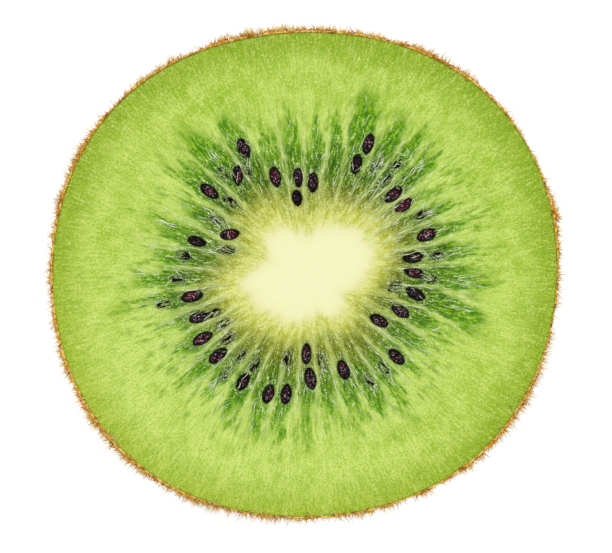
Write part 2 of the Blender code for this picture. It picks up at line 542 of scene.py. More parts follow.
def flesh_material():
    """Wet pulp: cream core, yellow-green fibres, dark green chambers, pale walls, light outer flesh."""
    material, tree, shader = new_material("kiwi_flesh")
    place = object_place(tree)
    core_distance = stored(tree, "beyond_core")
    chamber_share = stored(tree, "chamber")
    wall_share = stored(tree, "wall")
    lip_highlight_share = stored(tree, "lip")
    tip_share = stored(tree, "tip")
    shadow_share = stored(tree, "shadow")
    patch_tone = stored(tree, "tone")
    skin_distance = stored(tree, "to_skin")

    coarse_fibre = streaks(place, 34, 1.8)
    fine_fibre = streaks(place, 80, 0.8)
    wide_fibre = streaks(place, 22, 3.0, 3.0, 0.7)
    short_fibre = streaks(place, 110, 1.3, 2.0, 0.7)
    core_fibre = streaks(place, 17, 1.0, 2.0, 0.6)
    clouds = noise(place, 0.55, 1.0, 0.5)
    cells = noise(place, 4.5, 2.0, 0.6)
    specks = noise(place, 7.5, 1.0, 0.5)
    other_specks = noise(place, 6.2, 1.0, 0.5, 0.8)

    ramp = {
        "stops": (
            (0.00, colour(245, 245, 194)),
            (0.09, colour(240, 240, 182)),
            (0.15, colour(224, 227, 138)),
            (0.20, colour(204, 208, 92)),
            (0.26, colour(184, 190, 68)),
            (0.36, colour(162, 174, 60)),
            (0.48, colour(162, 190, 68)),
            (0.60, colour(184, 213, 86)),
            (0.80, colour(188, 215, 88)),
            (1.00, colour(182, 208, 76)),
        )
    }
    wavy = core_distance + (coarse_fibre - 0.5) * core_distance.between(-1.5, 1.0) * 3.6
    along_ramp = add(tree, "ShaderNodeMapRange", {}, {0: wavy, 1: -2.0, 2: 15.0, 3: 0.0, 4: 1.0})
    paint = add(tree, "ShaderNodeValToRGB", ramp, {0: along_ramp})

    # Fibres round the core, light and dark
    near_core = core_distance.between(-0.8, 0.8) * (1 - core_distance.between(3.0, 7.5))
    fibres = core_fibre * 0.34 + coarse_fibre * 0.36 + specks * 0.3
    strong_fibre = blend_colours(core_distance.between(0.3, 2.8), colour(192, 200, 40), colour(142, 150, 24))
    paint = layered(
        paint,
        (near_core * fibres.between(0.51, 0.58) * 0.9, colour(232, 236, 146)),
        (near_core * fibres.between(0.50, 0.43) * 0.95, strong_fibre),
    )

    # Outer flesh, mottled and clouded, and deeper in colour towards the skin. It also carries painted light:
    # paler towards minus X and minus Y, deeper on the other side, and pale specks that are painted glints
    rim = 1 - skin_distance.between(0.0, 4.4)
    beyond = core_distance.between(4.0, 8.0)
    pale_flesh = blend_colours(rim, colour(212, 233, 120), colour(188, 210, 70))
    deep_flesh = blend_colours(rim, colour(144, 185, 20), colour(120, 158, 8))
    painted_lit_side = vector_maths("DOT_PRODUCT", place, (-0.5, -0.87, 0), out="Value")
    cloudy = beyond * (1 - rim * 0.7)
    grain_of_flesh = cells * 0.42 + specks * 0.3 + short_fibre * 0.28
    glints = (other_specks * 0.6 + short_fibre * 0.4).between(0.585, 0.65)
    streaked = core_distance.between(5.0, 8.0) * (1 - core_distance.between(11.0, 15.0))
    pale_streak = (wide_fibre * 0.5 + fine_fibre * 0.5).between(0.48, 0.62)
    paint = layered(
        paint,
        (rim * 0.9, colour(136, 168, 18)),
        # painted light: paler towards minus X and minus Y, deeper on the far side
        (beyond * painted_lit_side.between(2.0, 24.0) * 0.5, pale_flesh),
        (beyond * painted_lit_side.between(-6.0, -24.0) * 0.35, deep_flesh),
        (beyond * patch_tone.between(0.0, 1.0) * 0.45, pale_flesh),
        (beyond * patch_tone.between(0.0, -1.0) * 0.4, deep_flesh),
        (cloudy * clouds.between(0.46, 0.62) * 0.4, pale_flesh),
        (cloudy * clouds.between(0.54, 0.36) * 0.35, deep_flesh),
        (beyond * grain_of_flesh.between(0.47, 0.62) * 0.75, pale_flesh),
        (beyond * grain_of_flesh.between(0.53, 0.38) * 0.7, deep_flesh),
        (beyond * glints * 0.5, colour(226, 240, 166)),
        (streaked * pale_streak * 0.65, colour(207, 228, 116)),
    )

    # Chambers: olive near the core, dark green round the seeds, bright green further out, all
    # broken by paler juice sacs
    ragged = fine_fibre * 0.35 + cells * 0.2 + coarse_fibre * 0.45
    smudge = streaked * (wide_fibre * 0.5 + coarse_fibre * 0.5).between(0.53, 0.39) * 0.85
    shown = chamber_share * 1.25 + smudge + tip_share * 0.4
    juicy = (shown + (ragged - 0.5) * 2.2).between(0.0, 1.1) * core_distance.between(0.3, 2.4)
    deep = (cells * 0.3 + specks * 0.2 + fine_fibre * 0.5).between(0.42, 0.60)
    olive = blend_colours(deep, colour(74, 82, 0), colour(150, 160, 30))
    dark_green = blend_colours(deep, colour(44, 84, 0), colour(108, 152, 6))
    bright_green = blend_colours(deep, colour(60, 126, 0), colour(138, 186, 12))
    far_out = (core_distance - chamber_share * 3.0).between(3.0, 8.5)
    green = blend_colours(far_out, dark_green, bright_green)
    green = blend_colours(core_distance.between(2.5, 6.0), olive, green)
    sacs = (specks * 0.35 + fine_fibre * 0.65).between(0.53, 0.64)
    wall_paint = blend_colours(fine_fibre.between(0.4, 0.6), colour(168, 190, 80), colour(208, 224, 146))
    paint = layered(
        paint,
        (juicy, green),
        (chamber_share.between(0.1, 0.5) * sacs * 0.7, colour(156, 198, 46)),
        (wall_share * (coarse_fibre * 0.5 + cells * 0.9), wall_paint),
    )

    # The deeper seeds get a painted shade round them, as dark smudges, ringed with pale painted highlights on
    # the lips; pale flecks near the core are painted glints
    painted_glint_flecks = core_distance.between(-0.4, 1.6) * (1 - core_distance.between(9.0, 13.0))
    painted_glint_flecks = painted_glint_flecks * (other_specks * 0.55 + fine_fibre * 0.45).between(0.59, 0.65)
    paint = layered(
        paint,
        # painted shade round and over the deeper seeds
        (shadow_share * ragged.between(0.42, 0.56) * 0.7, colour(46, 54, 22)),
        # painted highlights: pale specks on the lips round the seeds
        (lip_highlight_share * specks.between(0.52, 0.62) * 0.65, colour(206, 220, 160)),
        # painted glints: pale flecks from the core out into the chambers
        (painted_glint_flecks * 0.9, colour(232, 240, 194)),
    )

    wet = 0.36 - chamber_share * 0.16 + (specks - 0.5) * 0.3
    relief = (fine_fibre * 0.5 + cells * 0.6 + specks * 0.5) * core_distance.between(-1.5, 0.5)
    fill(shader, {"Base Color": paint, "Roughness": wet, "Normal": bump(relief, 1.0, 0.07)})
    fill(shader, {"IOR": 1.38, "Specular IOR Level": 0.35})
    return material


flesh_mesh.materials.append(flesh_material())
flesh = show("kiwi_flesh", flesh_mesh)
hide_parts("kiwi_half")
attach(flesh, "root")


# ---------------------------------------------------------------------------------------------
# Seeds. Small hard teardrops with a pitted purplish black coat, held by the flesh with their
# pointed ends to the core. Some show whole, others have stayed partly under the flesh.
# ---------------------------------------------------------------------------------------------
SEED_SEGMENTS, SEED_RINGS = 32, 20
SEED_TILT = 0.12  # most that a seed leans, in radians
SEED_SWELL = 0.92, 1.06  # least and most of its size, as a share
SOCKET_KINDS = {float: "NodeSocketFloat", int: "NodeSocketInt", type(None): "NodeSocketMaterial"}


def new_tree(name, inputs):
    """A geometry tree with its named inputs; gives the tree and a wire for each input."""
    tree = bpy.data.node_groups.new(name, "GeometryNodeTree")
    for way in ("OUTPUT", "INPUT"):
        tree.interface.new_socket(name="Geometry", in_out=way, socket_type="NodeSocketGeometry")
    for key, value in inputs.items():
        kind = SOCKET_KINDS[type(value)]
        item = tree.interface.new_socket(name=key, in_out="INPUT", socket_type=kind)
        if value is not None:
            item.default_value = value
    entry = tree.nodes.new("NodeGroupInput")
    return tree, {socket.name: Wire(socket) for socket in entry.outputs if socket.name}


def finish_tree(shape, material):
    """Ends a tree: its copies are made real, smooth to look at, and take their material."""
    tree = shape.tree
    real = add(tree, "GeometryNodeRealizeInstances", {}, {0: shape})
    smooth = add(tree, "GeometryNodeSetShadeSmooth", {}, {"Geometry": real})
    painted = add(tree, "GeometryNodeSetMaterial", {}, {"Geometry": smooth, "Material": material})
    tree.links.new(painted.socket, tree.nodes.new("NodeGroupOutput").inputs[0])
    return tree


def grow(tree, carrier, values, name):
    """Runs a tree on a carrier mesh and keeps the result as a plain mesh."""
    worker = show(name + "_worker", carrier)
    modifier = worker.modifiers.new("grow", "NODES")
    modifier.node_group = tree
    for item in tree.interface.items_tree:
        if item.in_out == "INPUT" and item.name in values:
            modifier[item.identifier] = values[item.name]
    seen = worker.evaluated_get(bpy.context.evaluated_depsgraph_get())
    mesh = bpy.data.meshes.new_from_object(seen)
    mesh.name = name
    bpy.data.objects.remove(worker)
    return show(name, mesh)


def named(tree, name, kind="FLOAT"):
    """What the mesh keeps under this name, for a geometry tree."""
    return add(tree, "GeometryNodeInputNamedAttribute", {"data_type": kind}, {"Name": name})


def keeping(shape, name, value, kind="FLOAT", domain="POINT"):
    """A shape that keeps a value under this name."""
    settings = {"data_type": kind, "domain": domain}
    sockets = {"Geometry": shape, "Name": name, "Value": value}
    return add(shape.tree, "GeometryNodeStoreNamedAttribute", settings, sockets)


def seed_tree():
    """One teardrop for each carrier point, with the point's own turn and size."""
    inputs = {
        "Length": SEED_LENGTH * MM,
        "Width": SEED_WIDTH * MM,
        "Depth": SEED_DEPTH * MM,
        "Pointedness": 0.34,
        "Unevenness": 0.03 * MM,
        "Pit Size": 0.5 * MM,
        "Material": None,
    }
    tree, wires = new_tree("kiwi_seeds", inputs)
    ball_size = {"Segments": SEED_SEGMENTS, "Rings": SEED_RINGS, "Radius": 0.5}
    ball = add(tree, "GeometryNodeMeshUVSphere", {}, ball_size)
    place = add(tree, "GeometryNodeInputPosition", {}, {})
    side, over, along = parts(place)
    inward = maths(tree, "MAXIMUM", along * -2, 0.0)
    narrow = 1 - wires["Pointedness"] * (inward * inward) + along * 0.12
    across, upwards = side * wires["Width"] * narrow, over * wires["Depth"] * narrow
    teardrop = vector(tree, along * wires["Length"], across, upwards)
    crowned = keeping(ball, "crown", over * 2)
    drop = add(tree, "GeometryNodeSetPosition", {}, {"Geometry": crowned, "Position": teardrop})
    aim, size = named(tree, "aim", "FLOAT_VECTOR"), named(tree, "size", "FLOAT_VECTOR")
    sockets = {"Points": wires["Geometry"], "Instance": drop, "Rotation": aim, "Scale": size}
    laid = add(tree, "GeometryNodeInstanceOnPoints", {}, sockets)
    real = add(tree, "GeometryNodeRealizeInstances", {}, {0: laid})
    wave = noise(place, maths(tree, "DIVIDE", 1.0, wires["Pit Size"]), 2.0)
    facing = add(tree, "GeometryNodeInputNormal", {}, {})
    push = scaled(facing, (wave - 0.5) * 2 * wires["Unevenness"])
    worn = add(tree, "GeometryNodeSetPosition", {}, {"Geometry": real, "Offset": push})
    return finish_tree(worn, wires["Material"])


def seed_material():
    """Glossy seed coat: purplish black, red-brown on the crown, with a net of fine pits; painted shade
    darkens the pits and painted glints fleck the crown.
    """
    material, tree, shader = new_material("kiwi_seed")
    place = object_place(tree)
    patches = noise(place, 0.8, 2.0)
    grit = noise(place, 7.0, 1.0)
    pits = dimples(place, 4.2)
    above_cut = parts(place)[2] - CUT_HEIGHT / MM
    crown = stored(tree, "crown").between(0.3, 0.95) * above_cut.between(-0.05, 0.15)
    base = layered(
        blend_colours(grit.between(0.4, 0.65), colour(6, 0, 6), colour(30, 4, 20)),
        (crown * patches.between(0.46, 0.62) * 0.8, colour(74, 8, 28)),
        (crown * patches.between(0.60, 0.70) * grit.between(0.50, 0.6), colour(136, 46, 30)),
        # painted shade: the middles of the pits darkened nearly to black
        ((1 - pits.between(0.10, 0.22)) * 0.8, colour(2, 0, 1)),
        # painted glints: small pinkish-white specks on the crown
        (crown * grit.between(0.595, 0.67) * 0.8, colour(214, 180, 190)),
    )
    relief = bump(pits * 0.8 + grit * 0.3, 1.0, 0.15)
    fill(shader, {"Base Color": base, "Roughness": 0.12, "Specular IOR Level": 0.12, "Normal": relief})
    return material


seed_places, seed_aims, seed_sizes = [], [], []
seed_random = np.random.default_rng(5)
for direction, distance, twist, sunk in SEEDS:
    heading = math.radians(direction)
    lift = (SEED_TOP - SEED_DEPTH / 2 - sunk) * MM
    seed_places.append((*place_at(heading, distance * MM), CUT_HEIGHT + lift))
    roll, pitch = seed_random.uniform(-SEED_TILT, SEED_TILT, 2)
    seed_aims.append((roll, pitch, heading + math.radians(twist)))
    swell = seed_random.uniform(*SEED_SWELL)
    half_length, half_width = seed_halves(direction, sunk)
    long, wide = 2 * half_length / SEED_LENGTH, 2 * half_width / SEED_WIDTH
    seed_sizes.append((swell * long, swell * wide * seed_random.uniform(*SEED_SWELL), swell))
seed_carrier = bpy.data.meshes.new("seed_places")
seed_carrier.from_pydata(seed_places, [], [])
for key, values in (("aim", seed_aims), ("size", seed_sizes)):
    seed_carrier.attributes.new(key, "FLOAT_VECTOR", "POINT").data.foreach_set("vector", np.ravel(values))
seeds = grow(seed_tree(), seed_carrier, {"Material": seed_material()}, "kiwi_seeds")
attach(seeds, "root")


# ---------------------------------------------------------------------------------------------
# Threads. Wet white shreds of the cut chamber walls and of the seeds' stalks, which lie on the
# cut face in wavy strands and catch the light. Their milky white is partly their own colour and
# partly a painted highlight that stands for the glints of the wet film.
# ---------------------------------------------------------------------------------------------
# One row for each shred along a wall: its direction in degrees, and where it starts and ends in mm.
WALL_THREADS = (
    (-6, 7.5, 12.5), (-3, 14.5, 18.2), (4, 6.8, 15.2), (9, 14.2, 17.6), (14.5, 6.6, 15.6), (18.5, 13.6, 15.4),
    (12, 7.0, 13.0), (21, 7.4, 15.8), (25.5, 9.5, 13.8), (29.5, 7.8, 13.2), (34, 6.8, 12.4),
    (36.5, 8.8, 14.6),
    (42, 7.2, 11.5), (49.5, 9.0, 13.6), (55, 8.4, 12.2),
    (23.5, 6.4, 14.6), (27, 13.0, 15.4), (31, 6.6, 10.2), (39, 7.6, 15.0), (44, 13.6, 17.0), (47, 8.6, 12.5),
    (53, 9.0, 14.4), (57, 12.8, 14.8), (61, 8.0, 11.5), (71, 8.6, 11.0), (80, 8.4, 12.8), (91, 8.0, 13.0),
    (100, 8.8, 10.2), (121, 10.5, 14.6), (128, 14.4, 16.2), (133, 11.5, 14.5), (145, 8.8, 12.8),
    (148, 9.4, 10.8), (156, 8.5, 14.0), (160, 13.6, 16.2), (167, 8.0, 13.0), (169.5, 14.6, 16.4),
    (177, 8.5, 14.0), (180, 14.6, 17.6), (187, 7.5, 13.0), (191, 14.6, 17.2), (197, 8.0, 14.5),
    (200, 13.8, 15.8), (206, 8.2, 13.5), (210, 13.6, 16.2), (216, 8.0, 13.2), (219, 12.8, 15.6),
    (226, 8.6, 13.0), (230, 13.4, 15.2), (246, 8.4, 13.0), (257, 9.0, 12.5), (266, 9.2, 13.5),
    (286, 8.8, 12.8), (296, 8.6, 13.6), (305, 8.6, 13.2), (310, 13.2, 14.6), (313, 8.8, 13.0),
    (323.5, 8.2, 13.6), (326, 11.6, 15.0), (333, 7.8, 13.4), (343, 8.0, 14.0), (348, 14.8, 17.4),
    (354, 9.0, 13.4), (359, 14.8, 17.6),
)
THREAD_POINTS = 22
THREAD_THICKNESS = 0.04, 0.07  # least and most, in mm
SHREDS = 260
SHRED_LENGTH, SHRED_THICKNESS = (0.4, 1.6), (0.03, 0.055)  # each least and most, in mm
SHREDS_OVER_SEED = 6  # on each of the deeper seeds
OVER_SEED_LENGTH, OVER_SEED_THICKNESS = (0.3, 1.1), (0.03, 0.06)
rim_bearing = np.unwrap(np.arctan2(rim_ring[:, 1], rim_ring[:, 0]))


def face_heights(x, y):
    """Height, in mm over the cut, of the flesh or of a seed at some places of the cut face."""
    number = np.interp(np.arctan2(y, x), rim_bearing, np.arange(CUT_SEGMENTS), period=2 * math.pi)
    column = np.rint(number).astype(int) % CUT_SEGMENTS
    row = np.searchsorted(ring_share, np.hypot(x, y) / rim_radius[column]).clip(max=len(ring_share) - 1)
    level = height[row, column]
    for direction, distance, twist, sunk in SEEDS:
        from_seed = share_of_seed(direction, distance, twist, sunk, x, y)
        seed_level = np.where(from_seed < 1, seed_height(from_seed, sunk), level)
        level = np.maximum(level, seed_level)
    return level


def strand(start, heading, length, sway, waves, thick, random):
    """Points and thicknesses of one wavy strand, in mm, which lies on the cut face."""
    shares = np.linspace(0, 1, THREAD_POINTS)
    phase, second_phase = random.uniform(0, 2 * math.pi, 2)
    swing = np.sin(waves * 2 * math.pi * shares + phase)
    swing = swing + 0.5 * np.sin(waves * 3.3 * math.pi * shares + second_phase)
    x, y = place_at(heading, length * shares, sway * (swing - swing[0]))
    x, y = start[0] + x, start[1] + y
    levels = face_heights(x, y)
    levels = np.maximum(levels, np.convolve(np.pad(levels, 2, mode="edge"), np.ones(5) / 5, "valid"))
    beads = 0.75 + 0.25 * np.sin(waves * 9 * shares + phase) + random.uniform(-0.2, 0.2, THREAD_POINTS)
    widths = thick * beads * np.sqrt(np.sin(math.pi * np.clip(shares, 0.04, 0.96)))
    return np.stack([x, y, levels + 0.3 * thick], -1), widths


thread_random = np.random.default_rng(17)
strands = []
for direction, start, end in WALL_THREADS:
    heading = math.radians(direction)
    length = end - start
    thick = thread_random.uniform(*THREAD_THICKNESS)
    lean = thread_random.normal(0, 0.03)
    begin = place_at(heading, start)
    strands.append(strand(begin, heading + lean, length, 0.06, length / 2.4, thick, thread_random))
    if start > 12:
        begin = place_at(heading, start, -0.2)
        askew = heading - 2 * lean
        strands.append(strand(begin, askew, length * 0.8, 0.07, length / 1.6, thick, thread_random))

for _ in range(SHREDS):
    direction, lean, reach = CHAMBERS[thread_random.integers(len(CHAMBERS))][:3]
    distance = thread_random.uniform(8.5, reach - 1.5)
    heading = math.radians(direction + lean * (distance - LEAN_RADIUS) + thread_random.normal(0, 2.2))
    length = thread_random.uniform(*SHRED_LENGTH)
    bend = thread_random.normal(0, 0.35)
    thick = thread_random.uniform(*SHRED_THICKNESS)
    begin = place_at(heading, distance)
    points, widths = strand(begin, heading + bend, length, 0.06, length / 1.7, thick, thread_random)
    if points[:, 2].max() < SEED_TOP - 0.08:  # the others would lie over a seed
        strands.append((points, widths))

for direction, distance, twist, sunk in SEEDS:
    heading = math.radians(direction)
    for _ in range(SHREDS_OVER_SEED if sunk > DEEP else 0):
        outward, sideways = distance + thread_random.normal(0, 0.8), thread_random.normal(0, 0.4)
        begin = place_at(heading, outward, sideways)
        length = thread_random.uniform(*OVER_SEED_LENGTH)
        thick = thread_random.uniform(*OVER_SEED_THICKNESS)
        bend = thread_random.normal(0, 0.5)
        strands.append(strand(begin, heading + bend, length, 0.08, length, thick, thread_random))

strand_points = np.concatenate([points for points, widths in strands]) * MM + [0, 0, CUT_HEIGHT]
strand_widths = np.concatenate([widths for points, widths in strands]) * MM
first_points = np.arange(len(strands))[:, None] * THREAD_POINTS + np.arange(THREAD_POINTS - 1)
strand_edges = np.stack([first_points, first_points + 1], -1).reshape(-1, 2)
strand_carrier = bpy.data.meshes.new("strand_lines")
strand_carrier.from_pydata(strand_points.tolist(), strand_edges.tolist(), [])
keep(strand_carrier, "thickness", strand_widths)


def thread_tree():
    """A tapered round thread along each line of the carrier."""
    tree, wires = new_tree("kiwi_threads", {"Sides": 5, "Flatness": 0.7, "Material": None})
    lines = add(tree, "GeometryNodeMeshToCurve", {}, {0: wires["Geometry"]})
    ring = add(tree, "GeometryNodeCurvePrimitiveCircle", {}, {"Resolution": wires["Sides"], "Radius": 1.0})
    squeeze = vector(tree, 1.0, wires["Flatness"], 1.0)
    oval = add(tree, "GeometryNodeTransform", {}, {"Geometry": ring, "Scale": squeeze})
    swept = {"Curve": lines, "Profile Curve": oval, "Scale": named(tree, "thickness"), "Fill Caps": True}
    return finish_tree(add(tree, "GeometryNodeCurveToMesh", {}, swept), wires["Material"])


def thread_and_glint_material():
    """Wet, milky white shreds with a tinge of green: partly their own colour, partly a painted highlight of
    the wet film.
    """
    material, tree, shader = new_material("kiwi_thread_and_glint")
    place = object_place(tree)
    tinge = noise(place, 1.4, 2.0)
    # painted highlight in part: the near-white stands partly for glints on the wet film
    base = blend_colours(tinge.between(0.4, 0.6), colour(188, 208, 142), colour(236, 242, 216))
    relief = bump(noise(place, 9.0, 1.0), 0.6, 0.02)
    fill(shader, {"Base Color": base, "Roughness": 0.18, "IOR": 1.38, "Normal": relief})
    return material


threads = grow(thread_tree(), strand_carrier, {"Material": thread_and_glint_material()}, "kiwi_threads")
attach(threads, "root")


# ---------------------------------------------------------------------------------------------
# Skin. A thin dry brown skin round the flesh, as thick as strong paper, with its cut edge showing
# as a fine orange-brown line. It dips at the end, where the stalk came away.
# ---------------------------------------------------------------------------------------------
SKIN_SEGMENTS = 360
SKIN_RINGS = 90
SIDE_RADIUS = 25  # in mm; turns a latitude into a length down the side
WRINKLE_HEIGHT, LUMP_HEIGHT, RAGGED_EDGE = 0.035, 0.12, 0.05  # in mm
SCAR_RADIUS = 2.4 * MM
SCAR_DIP = 0.8 * MM


def skin_rings(latitudes, inset, rough):
    """Rings of the skin, with its fine wrinkles and the dip round the stalk's scar."""
    turns = np.linspace(0, 2 * math.pi, SKIN_SEGMENTS, endpoint=False)[None] + 0 * latitudes[:, None]
    down = latitudes[:, None] + turns * 0
    rings = fruit_points(turns, down, inset)
    outward = np.stack([np.cos(turns) * np.cos(down), np.sin(turns) * np.cos(down), -np.sin(down)], -1)
    way_down = down * SIDE_RADIUS
    wrinkle = radial_grain(turns, way_down, 180, 1.2, 31) + 0.6 * radial_grain(turns, way_down, 350, 0.5, 32)
    lumps = radial_grain(turns, way_down, 24, 5.0, 33)
    relief = rough * (WRINKLE_HEIGHT * wrinkle + LUMP_HEIGHT * lumps) * MM
    rings = rings + outward * relief[..., None]
    from_middle = np.hypot(rings[..., 0], rings[..., 1])
    dip = SCAR_DIP * (1 - step(SCAR_RADIUS * 0.8, SCAR_RADIUS * 1.9, from_middle))
    rings[..., 2] = np.maximum(rings[..., 2], inset) + dip
    return rings


outer_latitudes = np.linspace(0, 0.985, SKIN_RINGS) ** 1.15 * math.pi / 2
outer_rings = skin_rings(outer_latitudes, 0.0, 1.0)[::-1]
inner_latitudes = np.linspace(0, 0.985, 20) * math.pi / 2
inner_rings = skin_rings(inner_latitudes, SKIN_THICKNESS, 0.0)
edge_turns = np.linspace(0, 2 * math.pi, SKIN_SEGMENTS, endpoint=False)
ragged_edge = RAGGED_EDGE * MM * radial_grain(edge_turns, 0 * edge_turns, 170, 1, 35)
outer_rings[-1, :, 2] += ragged_edge
inner_rings[0, :, 2] += ragged_edge
skin_shape = np.concatenate([outer_rings, inner_rings])
outer_end = [0, 0, outer_rings[0, :, 2].mean()]
inner_end = [0, 0, inner_rings[-1, :, 2].mean()]
skin_mesh = ring_mesh("kiwi_skin", skin_shape, outer_end, inner_end)


def skin_material():
    """Dry brown skin: mottled, with darker pores and paler rubbed places, orange where it is cut."""
    material, tree, shader = new_material("kiwi_skin")
    place = object_place(tree)
    clouds = noise(place, 0.22, 4.0, 0.6)
    specks = noise(place, 2.4, 3.0, 0.7)
    grit = noise(place, 3.2, 1.0, 0.5)
    burnt = noise(place, 1.3, 2.0)
    pores = dimples(place, 1.3)
    above_cut = parts(place)[2] - CUT_HEIGHT / MM
    cut_edge = blend_colours(grit.between(0.40, 0.58), colour(240, 204, 108), colour(202, 138, 34))
    cut_edge = blend_colours(burnt.between(0.54, 0.66) * 0.9, cut_edge, colour(146, 76, 14))
    base = layered(
        blend_colours(clouds.between(0.38, 0.62), colour(112, 82, 42), colour(150, 112, 60)),
        (specks.between(0.50, 0.66) * 0.7, colour(86, 58, 30)),
        (specks.between(0.46, 0.34) * 0.5, colour(178, 138, 82)),
        ((1 - pores.between(0.08, 0.24)) * 0.65, colour(58, 38, 22)),
        (above_cut.between(-0.30, -0.04), cut_edge),
    )
    relief = bump(specks * 0.6 + pores * 0.4, 0.8, 0.12)
    fill(shader, {"Base Color": base, "Roughness": 0.7, "Specular IOR Level": 0.2, "Normal": relief})
    return material


skin_mesh.materials.append(skin_material())
skin = show("kiwi_skin", skin_mesh)
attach(skin, "root")


# ---------------------------------------------------------------------------------------------
# Stalk scar. A small dry woody button in the dip at the end, hollow in the middle and ragged at
# its edge, where the stalk broke off.
# ---------------------------------------------------------------------------------------------
SCAR_SEGMENTS = 60
SCAR_PROFILE = (
    # distance from the middle and height above the table, both in mm, from the hollow to the skin
    (0.15, 0.62), (0.40, 0.58), (0.60, 0.46), (0.78, 0.30), (0.95, 0.20), (1.12, 0.17), (1.30, 0.22),
    (1.45, 0.34), (1.56, 0.50), (1.66, 0.66), (1.76, 0.80), (1.70, 0.88), (1.20, 0.90), (0.50, 0.90),
)
SCAR_MIDDLE, SCAR_TOP = 0.62 * MM, 0.9 * MM  # height of the hollow, and of the button's hidden side

scar_turns = np.linspace(0, 2 * math.pi, SCAR_SEGMENTS, endpoint=False)[None]
scar_out, scar_level = np.array(SCAR_PROFILE).T[..., None]
torn = grain(scar_turns / (2 * math.pi) * 23 + 0 * scar_out, scar_out * 3, 23, 41)
chip = grain(scar_turns / (2 * math.pi) * 9 + 0 * scar_out, scar_out * 1.2 + 5, 9, 42)
scar_radius = scar_out * (1 + 0.07 * torn + 0.08 * chip)
scar_height = np.clip(scar_level + 0.07 * torn + 0.05 * chip, 0.06, 0.9)
scar_x, scar_y = scar_radius * np.cos(scar_turns), scar_radius * np.sin(scar_turns)
scar_rings = np.stack([scar_x, scar_y, scar_height], -1) * MM
scar_mesh = ring_mesh("kiwi_scar", scar_rings, [0, 0, SCAR_MIDDLE], [0, 0, SCAR_TOP])


def scar_material():
    """Dry grey-brown wood, darker in its cracks, with fibres round it."""
    material, tree, shader = new_material("kiwi_scar")
    place = object_place(tree)
    fibres = streaks(place, 9, 1.2, 3.0)
    flakes = noise(place, 3.0, 3.0, 0.7)
    base = blend_colours(fibres.between(0.36, 0.62), colour(58, 38, 24), colour(136, 104, 70))
    base = blend_colours(flakes.between(0.54, 0.68) * 0.7, base, colour(40, 26, 18))
    relief = bump(fibres * 0.6 + flakes * 0.4, 1.0, 0.1)
    fill(shader, {"Base Color": base, "Roughness": 0.85, "Normal": relief})
    return material


scar_mesh.materials.append(scar_material())
scar = show("kiwi_scar", scar_mesh)
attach(scar, "root")


# ---------------------------------------------------------------------------------------------
# Hairs. Stiff one-celled hairs that grow from the skin: a short down that lies nearly flat, a
# longer fuzz, and coarse bristles in untidy patches. Where the knife went through the skin they
# stick together as a tangled golden fringe.
# ---------------------------------------------------------------------------------------------
HAIR_KINDS = {
    # Density is in hairs for each square metre; Stand goes from 0, flat, to 1, upright
    "kiwi_hair_down": {
        "Density": 4.6e6, "Length": 0.6 * MM, "Thickness": 0.055 * MM, "Stand": 0.16, "Bend": 0.10 * MM,
        "Patchiness": 0.3, "At The Cut": 0.4, "Seed": 1,
    },
    "kiwi_hair_fuzz": {
        "Density": 4.6e6, "Length": 0.9 * MM, "Thickness": 0.08 * MM, "Stand": 0.26, "Bend": 0.25 * MM,
        "Patchiness": 0.6, "At The Cut": 0.3, "Seed": 2,
    },
    "kiwi_hair_bristles": {
        "Density": 2.0e6, "Length": 1.3 * MM, "Thickness": 0.09 * MM, "Stand": 0.34, "Bend": 0.45 * MM,
        "Patchiness": 0.9, "At The Cut": 0.4, "Seed": 3,
    },
    "kiwi_hair_rim": {
        "Density": 265e6, "Length": 0.76 * MM, "Thickness": 0.15 * MM, "Stand": 0.34, "Bend": 0.6 * MM,
        "Patchiness": 1.0, "Patch Size": 1.2 * MM, "Lowest": CUT_HEIGHT - 1.4 * MM, "Untidiness": 1.9,
        "Fringe": 1.0, "Seed": 4,
    },
}

# How thick the fringe is round the rim: direction in degrees, share
FRINGE = (
    (0, 0.2), (5, 0.5), (11, 0.7), (18, 0.6), (23, 0.2), (31, 0.25), (45, 0.2), (54, 0.5), (66, 0.5),
    (76, 0.5), (88, 0.45), (100, 0.65), (108, 0.75), (116, 0.45), (128, 0.5), (140, 0.4), (150, 0.5),
    (157, 0.8),
    (168, 0.45), (176, 0.25), (194, 0.25), (201, 0.7), (212, 0.75), (222, 1.0), (234, 0.6), (242, 0.75),
    (256, 0.75), (268, 0.5), (276, 0.45), (284, 0.65), (294, 0.35), (300, 0.6), (306, 0.25), (311, 0.65),
    (318, 0.6), (328, 1.0), (338, 0.9), (345, 0.6), (353, 0.25), (360, 0.2),
)
HAIR_SIDES, HAIR_JOINTS = 3, 2
HAIR_ROOT_DEPTH = 0.05 * MM
# Colours at the root and at the tip of golden, ruddy and dark hairs
HAIR_TINTS = (
    ((204, 138, 40), (244, 202, 104)),
    ((166, 86, 14), (226, 148, 46)),
    ((96, 42, 8), (160, 86, 24)),
)
# Fringe tints, paler than the hair tints partly as the fringe's own colour and partly as painted light that
# makes up for the shade its dense hairs cast on one another
FRINGE_TINTS = (
    ((248, 206, 88), (255, 244, 184)),
    ((236, 156, 30), (252, 208, 96)),
    ((152, 68, 8), (212, 126, 32)),
)


def any_vector(tree, seed):
    """A random vector for each thing."""
    sockets = {"Min": (-1, -1, -1), "Max": (1, 1, 1), "Seed": seed}
    return add(tree, "FunctionNodeRandomValue", {"data_type": "FLOAT_VECTOR"}, sockets)


def any_number(tree, low, high, seed):
    """A random number for each thing."""
    sockets = {2: low, 3: high, "Seed": seed}
    return add(tree, "FunctionNodeRandomValue", {"data_type": "FLOAT"}, sockets, out=1)


